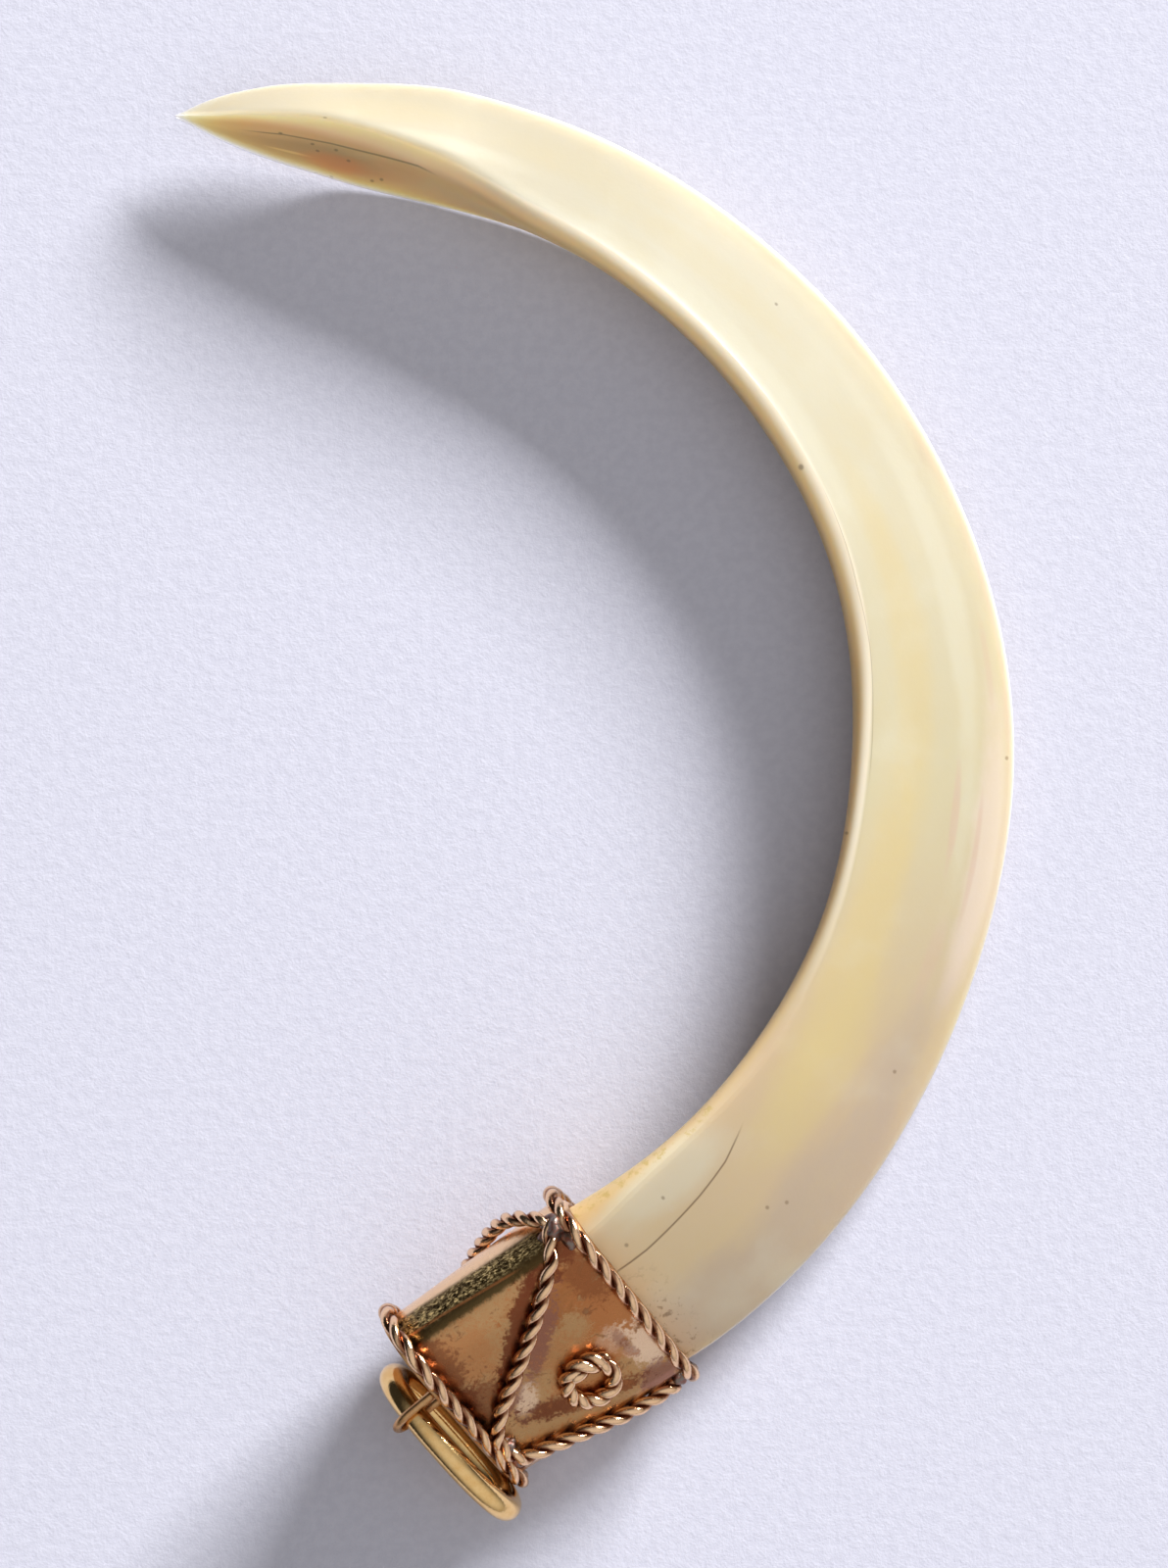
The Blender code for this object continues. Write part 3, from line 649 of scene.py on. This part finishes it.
# Tarnish left by the soldering, and one painted highlight, the pale streak along the outer rounded edge at the
# end of the list: (place, half size) as (millimetres into the cap, millimetres across it), the heading, then
# the tone and how strong it is
TARNISH_AND_HIGHLIGHT = [
    ((5.0, -2.2), (6.5, 3.6), LEG_HEADING, RUST, 0.75), ((2.2, 1.0), (2.8, 4.6), 0.0, COPPER, 0.9),
    ((1.8, -3.5), (1.6, 3.0), 0.0, COPPER_RED, 0.5), ((8.4, -0.2), (4.4, 1.0), LEG_HEADING, PURPLE_BROWN, 0.8),
    ((6.3, 0.8), (3.0, 1.3), 0.5, GOLD, 0.9), ((12.5, 3.4), (1.7, 0.9), 0.7, PALE_GOLD, 0.7),
    ((9.6, 2.6), (2.2, 0.8), 0.6, GOLD, 0.7), ((1.4, 5.0), (1.9, 2.2), 0.0, PALE_GOLD, 0.85),
    ((3.6, 3.0), (1.3, 1.1), 0.4, PALE_GOLD, 0.5), ((2.2, 8.3), (2.0, 1.3), 0.0, PURPLE_BROWN, 0.8),
    ((2.9, 3.9), (0.6, 1.5), 0.2, PURPLE_BROWN, 0.6), ((13.4, 2.0), (2.4, 0.9), LEG_HEADING, PURPLE_BROWN, 0.7),
    ((9.0, 5.9), (5.4, 1.0), -0.27, COPPER_RED, 0.9), ((6.9, 3.9), (3.4, 3.4), 0.0, COPPER, 0.5),
    ((14.4, -3.0), (3.0, 3.0), 0.3, COPPER, 0.55), ((8.7, -3.0), (7.2, 0.75), LEG_HEADING, COPPER_RED, 0.9),
    ((3.4, -6.0), (3.2, 1.4), 0.2, COPPER_RED, 0.8), ((17.0, -3.0), (2.1, 5.2), 0.0, COPPER_RED, 0.65),
    # The last, pale streak is a painted highlight along the outer rounded edge
    ((15.8, 1.4), (2.6, 2.4), 0.5, COPPER_RED, 0.65), ((13.6, 9.0), (5.0, 1.3), -0.2, PALE_GOLD, 0.8)]
# The rolled inner edge is bare metal with many fine scratches, between these distances across; its dark olive
# tone is a painted dark reflection
BAND_START = -6.1
BAND_MIDDLE = -8.0
BAND_DEPTHS = (1.6, 3.4)
BAND_RIM = [(6.0, -6.8), (14.0, -7.2)]


def gold_finish(name, tarnish=0.5):
    """Old low-carat gold: fine scratches and specks, with brown stains; tarnish is how much."""
    finish = Finish(name, Metallic=1.0)
    mottle = finish.place.grain(1.9, 4.0, 0.65)
    finish.tone = (mottle.step(0.42, 0.72) * tarnish).mix(GOLD, COPPER)
    finish.grit = finish.place.grain(6.0, 3.0, 0.6)
    finish.hatch = finish.place.vector("MULTIPLY", finish.place, (9.0, 1.4, 3.0)).grain(1.2, 4.0, 0.7)
    finish.drive(Base_Color=finish.tone, Roughness=finish.hatch * 0.15 + finish.grit * 0.15 + 0.14,
                 Normal=(finish.hatch * 0.4 + finish.grit * 0.3 + mottle * 0.6).bump(0.3, 0.12))
    return finish


sleeve_finish = gold_finish("cap_gold", 0.25)
into, beside = sleeve_finish.attribute("depth"), sleeve_finish.attribute("side")
sheet_chart = into.node("ShaderNodeCombineXYZ", {}, {0: into, 1: beside})
blotch = sleeve_finish.place.grain(0.7, 5.0, 0.65, 0.6)
flecks = sleeve_finish.place.grain(2.6, 4.0, 0.7)
sheet_tone = (flecks.step(0.52, 0.68) * 0.6).mix(sleeve_finish.tone, COPPER)
for place, size, heading, tone, strength in TARNISH_AND_HIGHLIGHT:
    ragged = sheet_chart.oval(place, size, heading) + (blotch - 0.5) * 2.4 + (flecks - 0.5) * 1.9
    sheet_tone = (ragged.step(1.25, 0.7) * strength).mix(sheet_tone, tone)
sheet_tone = (blotch.step(0.60, 0.66) * 0.5).mix(sheet_tone, COPPER_RED)
above_keel = sleeve_finish.place.parts()[2].step(6.0, 8.0)
rolled = ((beside + (flecks - 0.5) * 0.8).step(BAND_START + 0.25, BAND_START - 0.25)
          * into.step(*BAND_DEPTHS) * above_keel)
# Painted dark reflection over the rolled band
sheet_tone = (rolled * 0.9).mix(sheet_tone, OLIVE_DARK_REFLECTION)
strokes = sheet_chart.vector("MULTIPLY", sheet_chart, (1.7, 7.5, 1.0)).grain(1.0, 4.0, 0.8, 1.0)
scored = (rolled * strokes.step(0.47, 0.60) * flecks.step(0.38, 0.54)
          * abs(beside - BAND_MIDDLE).step(1.2, 0.4))
sheet_tone = (scored * 0.9).mix(sheet_tone, SCRATCH_GOLD)
rim_line = abs(beside - into.curve(BAND_RIM)).step(0.16, 0.05) * into.step(5.5, 7.5) * rolled
sheet_tone = (rim_line * 0.8).mix(sheet_tone, COPPER)
# Painted reflection of the lit paper, in peach, along the rim of the rolled edge
edge_shine = beside.step(-8.6, -8.9)
sheet_tone = edge_shine.mix(sheet_tone, EDGE_REFLECTION_PEACH)
sleeve_finish.drive(Base_Color=sheet_tone, Roughness=blotch * 0.2 + flecks * 0.1 + scored * 0.3 + 0.14,
                    Normal=(sleeve_finish.hatch * 0.2 + sleeve_finish.grit * 0.3 + flecks * 0.5
                            + scored * 0.8).bump(0.3, 0.12))
cap_sheet = link("cap_sheet", sleeve_mesh, sleeve_finish)
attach(cap_sheet, "pendant")
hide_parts("cap_sleeve")

# The end plate: a flat piece of the same sheet, soldered over the sleeve's open end and
# filed to a small overhang that the rope sits behind.
PLATE_PROFILE = [(17.95, 0.2), (17.95, 1.0), (17.98, 1.1), (18.06, 1.16), (18.34, 1.16),
                 (18.42, 1.12), (18.45, 1.0), (18.45, 0.2)]
plate_rings = [ring_points(depth_angle(depth), SLEEVE_COUNTS, lift * MM)
               for depth, lift in PLATE_PROFILE]
plate_mesh = skin("cap_end", plate_rings)
cap_end = link("cap_end", plate_mesh, gold_finish("cap_end_gold", 0.9))
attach(cap_end, "pendant")
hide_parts("end_plate")

# The ropes: each is two round gold wires twisted together left-handed, laid on the sheet
# and soldered. Two run round the cap's rims, one zigzags between them, one is a small coil.
ROPE_RADIUS = 0.72 * MM
STRAND_RADIUS = 0.38 * MM
STRAND_SPREAD = 1.12
STRAND_OFFSET = 0.335 * MM
STRAND_SIDES = 14
STEPS_PER_LOBE = 10
ROPE_LIFT = SLEEVE_LIFT + ROPE_RADIUS - 0.11 * MM
RIM_LOBE_PITCH = 2.3 * MM
ZIGZAG_LOBE_PITCH = 1.9 * MM
COIL_LOBE_PITCH = 1.45 * MM
MOUTH_ROPE_DEPTH = 0.1
PLATE_ROPE_DEPTH = 17.55
# Zigzag route: (depth into the cap, place around it: 0 top edge, 1 keel, 2 bottom edge,
# how far it arches off the sheet)
ZIGZAG_ROUTE = [(1.0, -0.24, 0), (3.2, -0.04, 0), (10.0, 0.27, 0), (14.8, 0.48, 0),
                (16.7, 0.60, 0), (16.9, 0.71, 0), (16.0, 0.79, 0), (10.5, 0.86, 0), (1.5, 1.0, 0),
                (15.7, 1.75, 0), (8.0, 2.31, 0.1 * MM), (4.5, 2.55, 0.45 * MM),
                (1.2, 2.80, 0.2 * MM)]
ZIGZAG_SMOOTHINGS = 5
COIL_DEPTH = 7.1
COIL_PLACE = 0.62
COIL_RADIUS = 2.3
COIL_GAUGE = 1.12
COIL_TURNS = 1.3
COIL_START = math.radians(200)


def path_lengths(points, closed):
    track = np.array([tuple(p) for p in points] + ([tuple(points[0])] if closed else []))
    return track, np.concatenate(([0], np.cumsum(np.linalg.norm(np.diff(track, axis=0), axis=1))))


def even_points(points, count, closed):
    """The same path with evenly spaced points."""
    track, run = path_lengths(points, closed)
    reach = np.arange(count) / (count if closed else count - 1) * run[-1]
    return np.column_stack([np.interp(reach, run, track[:, k]) for k in range(3)])


def unit(rows):
    return rows / np.linalg.norm(rows, axis=1)[:, None]


def tangents(path, closed):
    if closed:
        return unit(np.roll(path, -1, axis=0) - np.roll(path, 1, axis=0))
    return unit(np.gradient(path, axis=0))


def join_meshes(name, meshes):
    bm = bmesh.new()
    for mesh in meshes:
        bm.from_mesh(mesh)
        bpy.data.meshes.remove(mesh)
    joined = bpy.data.meshes.new(name)
    bm.to_mesh(joined)
    bm.free()
    joined.shade_smooth()
    return joined


def twisted_wires(name, path, above, lobe_pitch, closed, gauge=1.0):
    """Two strands wound round a path; above is the same path lifted off the sheet."""
    length = path_lengths(path, closed)[1][-1]
    lobes = round(length / lobe_pitch / 2) * 2 if closed else round(length / lobe_pitch)
    count = lobes * STEPS_PER_LOBE + (0 if closed else 1)
    track = even_points(path, count, closed)
    along = tangents(track, closed)
    up = even_points(above, count, closed) - track
    up = unit(up - along * (up * along).sum(axis=1)[:, None])
    across = np.cross(along, up)
    twist = -math.pi * np.arange(count) / STEPS_PER_LOBE
    strands = []
    crests = []
    for start in (0.0, math.pi):
        outward = (across * np.cos(twist + start)[:, None] + up * np.sin(twist + start)[:, None])
        centre = track + outward * (STRAND_OFFSET * gauge)
        run = tangents(centre, closed)
        radial = unit(outward - run * (outward * run).sum(axis=1)[:, None])
        beside = np.cross(run, radial)
        rings = []
        for i in range(count):
            end = 1.0 if closed else min(i, count - 1 - i) / 4
            size = STRAND_RADIUS * gauge * math.sqrt(max(0.02, 1 - max(0.0, 1 - end) ** 2))
            size *= 1 + 0.05 * noise.noise(Vector(centre[i]) / (1.1 * MM))
            turns = [2 * math.pi * k / STRAND_SIDES for k in range(STRAND_SIDES)]
            rings.append([centre[i] + (radial[i] * math.cos(t)
                                       + beside[i] * (math.sin(t) * STRAND_SPREAD)) * size
                          for t in turns])
            crests += [math.cos(t) for t in turns]
        strands.append(skin(name, rings, closed=closed))
    rope = join_meshes(name, strands)
    paint(rope, "crest", crests)
    return rope


def cap_point(depth, around, lift):
    """Point over the cap: around runs 0 to 3 over top, underside and inner face."""
    points = ring_points(depth_angle(depth), (24, 24, 24), lift)
    where = (around % 3) * 24
    first = int(where)
    return points[first % 72].lerp(points[(first + 1) % 72], where - first)


def rim_rope(name, depth):
    path = ring_points(depth_angle(depth), (80, 80, 48), ROPE_LIFT)
    above = ring_points(depth_angle(depth), (80, 80, 48), ROPE_LIFT + 1 * MM)
    return twisted_wires(name, path, above, RIM_LOBE_PITCH, True)


def zigzag_rope(name):
    legs = [np.linspace(one, two, 60, endpoint=False)
            for one, two in zip(ZIGZAG_ROUTE, ZIGZAG_ROUTE[1:])]
    route = np.vstack(legs + [[ZIGZAG_ROUTE[-1]]])
    for _ in range(ZIGZAG_SMOOTHINGS):
        route[1:-1] = (route[:-2] + 2 * route[1:-1] + route[2:]) / 4
    path = [cap_point(depth, around, ROPE_LIFT + arch) for depth, around, arch in route]
    above = [cap_point(depth, around, ROPE_LIFT + arch + 1 * MM) for depth, around, arch in route]
    return twisted_wires(name, path, above, ZIGZAG_LOBE_PITCH, False)


def coil_rope(name):
    face = ring_points(depth_angle(COIL_DEPTH), (24, 24, 24), ROPE_LIFT)[:25]
    face_length = path_lengths(face, False)[1][-1] / MM
    path = []
    above = []
    for t in np.linspace(0, 1, 90):
        turn = 2 * math.pi * COIL_TURNS * t + COIL_START
        radius = COIL_RADIUS - 0.45 * t
        depth = COIL_DEPTH + radius * math.cos(turn)
        around = COIL_PLACE + radius * math.sin(turn) / face_length
        rise = 0.5 * MM * max(0.0, t - 0.6)
        path.append(cap_point(depth, around, ROPE_LIFT + rise))
        above.append(cap_point(depth, around, ROPE_LIFT + rise + 1 * MM))
    return twisted_wires(name, path, above, COIL_LOBE_PITCH, False, COIL_GAUGE)


ROPE_BRIGHT = (0.93, 0.61, 0.37, 1.0)
ROPE_GROOVE_SHADE_AND_TARNISH = (0.31, 0.135, 0.07, 1.0)
rope_finish = Finish("rope_gold", Metallic=1.0)
crest = rope_finish.attribute("crest")
rub = rope_finish.place.grain(1.4, 4.0, 0.6)
# The strands darken from their crests into the grooves between them: painted shade in the grooves, with tarnish
# there too
rope_tone = (crest + (rub - 0.5) * 1.2).step(-0.1, 0.75).mix(ROPE_GROOVE_SHADE_AND_TARNISH, ROPE_BRIGHT)
rope_finish.drive(Base_Color=rope_tone, Roughness=rub * 0.2 + 0.06,
                  Normal=rope_finish.place.grain(6.0, 2.0, 0.5).bump(0.2, 0.1))
for name, mesh in (("mouth_rope", rim_rope("mouth_twist", MOUTH_ROPE_DEPTH)),
                   ("plate_rope", rim_rope("plate_twist", PLATE_ROPE_DEPTH)),
                   ("zigzag_rope", zigzag_rope("zigzag_twist")),
                   ("coil_rope", coil_rope("coil_twist"))):
    twist = link(mesh.name, mesh, rope_finish)
    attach(twist, "pendant")
    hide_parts(name)

# The solder: grey lumps that hold the zigzag's bends to the ropes round the rims. Each
# stood as a bead where the torch left it.
SOLDER_GREY = (0.24, 0.205, 0.18, 1.0)
# Lumps: (depth into the cap, place around it), then the radius in millimetres
SOLDER_LUMPS = [((1.3, -0.17), 1.15), ((0.7, -0.06), 0.8), ((2.3, -0.16), 0.7), ((16.3, 0.70), 0.75),
                ((16.4, 0.80), 0.7), ((1.1, 0.98), 0.7)]
lump_bm = bmesh.new()
for (depth, around), radius in SOLDER_LUMPS:
    middle = cap_point(depth, around, SLEEVE_LIFT + 0.25 * MM)
    lump = bmesh.ops.create_icosphere(lump_bm, subdivisions=4, radius=radius * MM)
    for vertex in lump["verts"]:
        swollen = 1 + 0.5 * noise.noise(vertex.co / (0.8 * MM) + middle / MM)
        vertex.co = middle + vertex.co * swollen
lump_mesh = bpy.data.meshes.new("solder_lumps")
lump_bm.to_mesh(lump_mesh)
lump_bm.free()
lump_mesh.shade_smooth()
solder_finish = Finish("solder", Metallic=1.0)
dross = solder_finish.place.grain(2.4, 4.0, 0.65)
solder_finish.drive(Base_Color=dross.step(0.4, 0.65).mix(SOLDER_GREY, PURPLE_BROWN),
                    Roughness=dross * 0.4 + 0.2, Normal=dross.bump(0.5, 0.2))
solder_lumps = link("solder_lumps", lump_mesh, solder_finish)
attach(solder_lumps, "pendant")

# The bail ring: one oval of round gold wire, soldered shut and polished. It stands on edge
# just beyond the end plate, its top leaning away, and swings in the staple.
RING_WIRE_RADIUS = 1.12
RING_HALF_LENGTH = 7.55
RING_HALF_HEIGHT = 4.1
RING_SQUARENESS = 2.3
RING_DEPTH = 20.3
RING_SIDE_SHIFT = 1.85
RING_FLOOR_GAP = 0.085
RING_YAW = math.radians(-4.8)
RING_LEAN = math.radians(7.0)
RING_SEGMENTS = 180
RING_SIDES = 36
RING_ALONG = (CAP_SIDE * math.cos(RING_YAW) + CAP_AXIS * math.sin(RING_YAW)).normalized()
RING_OUT = RING_ALONG.cross(UP)
RING_UP = UP * math.cos(RING_LEAN) + RING_OUT * math.sin(RING_LEAN)
RING_CENTRE = MOUTH_CENTRE + (CAP_AXIS * RING_DEPTH + CAP_SIDE * RING_SIDE_SHIFT) * MM
RING_CENTRE.z = (RING_WIRE_RADIUS + RING_HALF_HEIGHT * math.cos(RING_LEAN) + RING_FLOOR_GAP) * MM


def ring_path(turn):
    """Place of the ring's centre line in its own plane, as (along, up) in metres."""
    c = math.cos(turn)
    s = math.sin(turn)
    size = (abs(c / RING_HALF_LENGTH) ** RING_SQUARENESS
            + abs(s / RING_HALF_HEIGHT) ** RING_SQUARENESS) ** (-1 / RING_SQUARENESS)
    return c * size * MM, s * size * MM


def ring_world(turn):
    along, up = ring_path(turn)
    return RING_CENTRE + RING_ALONG * along + RING_UP * up


def wire(name, path, radius, sides, closed):
    """Round wire swept along a path, with rounded ends where it is open."""
    track = np.array([tuple(p) for p in path])
    run = tangents(track, closed)
    count = len(track)
    up = np.cross(run[0], (0.3, 0.2, 0.9))
    rings = []
    for i in range(count):
        up = up - run[i] * up.dot(run[i])
        up /= np.linalg.norm(up)
        across = np.cross(run[i], up)
        size = radius if closed or 0 < i < count - 1 else radius * 0.75
        rings.append([track[i] + (up * math.cos(2 * math.pi * k / sides)
                                  + across * math.sin(2 * math.pi * k / sides)) * size
                      for k in range(sides)])
    return skin(name, rings, closed=closed)


ring_turns = [2 * math.pi * i / RING_SEGMENTS for i in range(RING_SEGMENTS)]
ring_mesh = wire("bail_oval", [ring_world(t) for t in ring_turns], RING_WIRE_RADIUS * MM,
                 RING_SIDES, True)
RING_GOLD = (0.94, 0.64, 0.29, 1.0)
RING_AMBER = (0.82, 0.49, 0.17, 1.0)
ring_finish = Finish("ring_gold", Metallic=1.0)
ring_rub = ring_finish.place.grain(1.1, 4.0, 0.6)
ring_finish.drive(Base_Color=ring_rub.step(0.3, 0.9).mix(RING_GOLD, RING_AMBER),
                  Roughness=ring_rub * 0.15 + 0.05,
                  Normal=ring_finish.place.grain(5.0, 3.0, 0.6).bump(0.1, 0.1))
bail_oval = link("bail_oval", ring_mesh, ring_finish)
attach(bail_oval, "bail")
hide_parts("bail_ring")

# The staple: a short bend of gold wire round the ring's upper rail, its two feet soldered
# to the end plate.
STAPLE_WIRE_RADIUS = 0.38
STAPLE_PLACE = -4.1
STAPLE_CLEARANCE = 0.35
STAPLE_FOOT_DEPTH = 18.45


def rail_turn(place_along):
    """Turn at which the ring's upper rail passes a place along it."""
    turns = np.linspace(0, math.pi, 4000)
    places = [-ring_path(turn)[0] / MM for turn in turns]
    return float(np.interp(-place_along, places, turns))


hinge_turn = rail_turn(STAPLE_PLACE)
hinge = ring_world(hinge_turn)
rail_axis = (ring_world(hinge_turn - 0.02) - ring_world(hinge_turn + 0.02)).normalized()
staple_out = (CAP_AXIS - rail_axis * CAP_AXIS.dot(rail_axis)).normalized()
staple_across = staple_out.cross(rail_axis).normalized()
staple_reach = (RING_WIRE_RADIUS + STAPLE_CLEARANCE + STAPLE_WIRE_RADIUS) * MM
plate_point = cap_point(STAPLE_FOOT_DEPTH, 0.5, 0.0)
plate_normal = (CAP_AXIS - UP * CAP_LEAN).normalized()


def staple_foot(limb):
    run = (plate_point - limb).dot(plate_normal)
    return limb + staple_out * (run / staple_out.dot(plate_normal))


limbs = [hinge + staple_across * (staple_reach * side) for side in (1, -1)]
bend = [hinge + (staple_out * math.cos(t) + staple_across * math.sin(t)) * staple_reach
        for t in np.linspace(math.pi / 2, -math.pi / 2, 40)]
staple_path = [staple_foot(limbs[0]).lerp(limbs[0], t) for t in np.linspace(0, 1, 12, False)]
staple_path += bend
staple_path += [limbs[1].lerp(staple_foot(limbs[1]), t) for t in np.linspace(0, 1, 13)[1:]]
staple_mesh = wire("staple_bend", staple_path, STAPLE_WIRE_RADIUS * MM, 18, False)
staple_bend = link("staple_bend", staple_mesh, gold_finish("staple_gold", 0.5))
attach(staple_bend, "pendant")
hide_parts("staple")
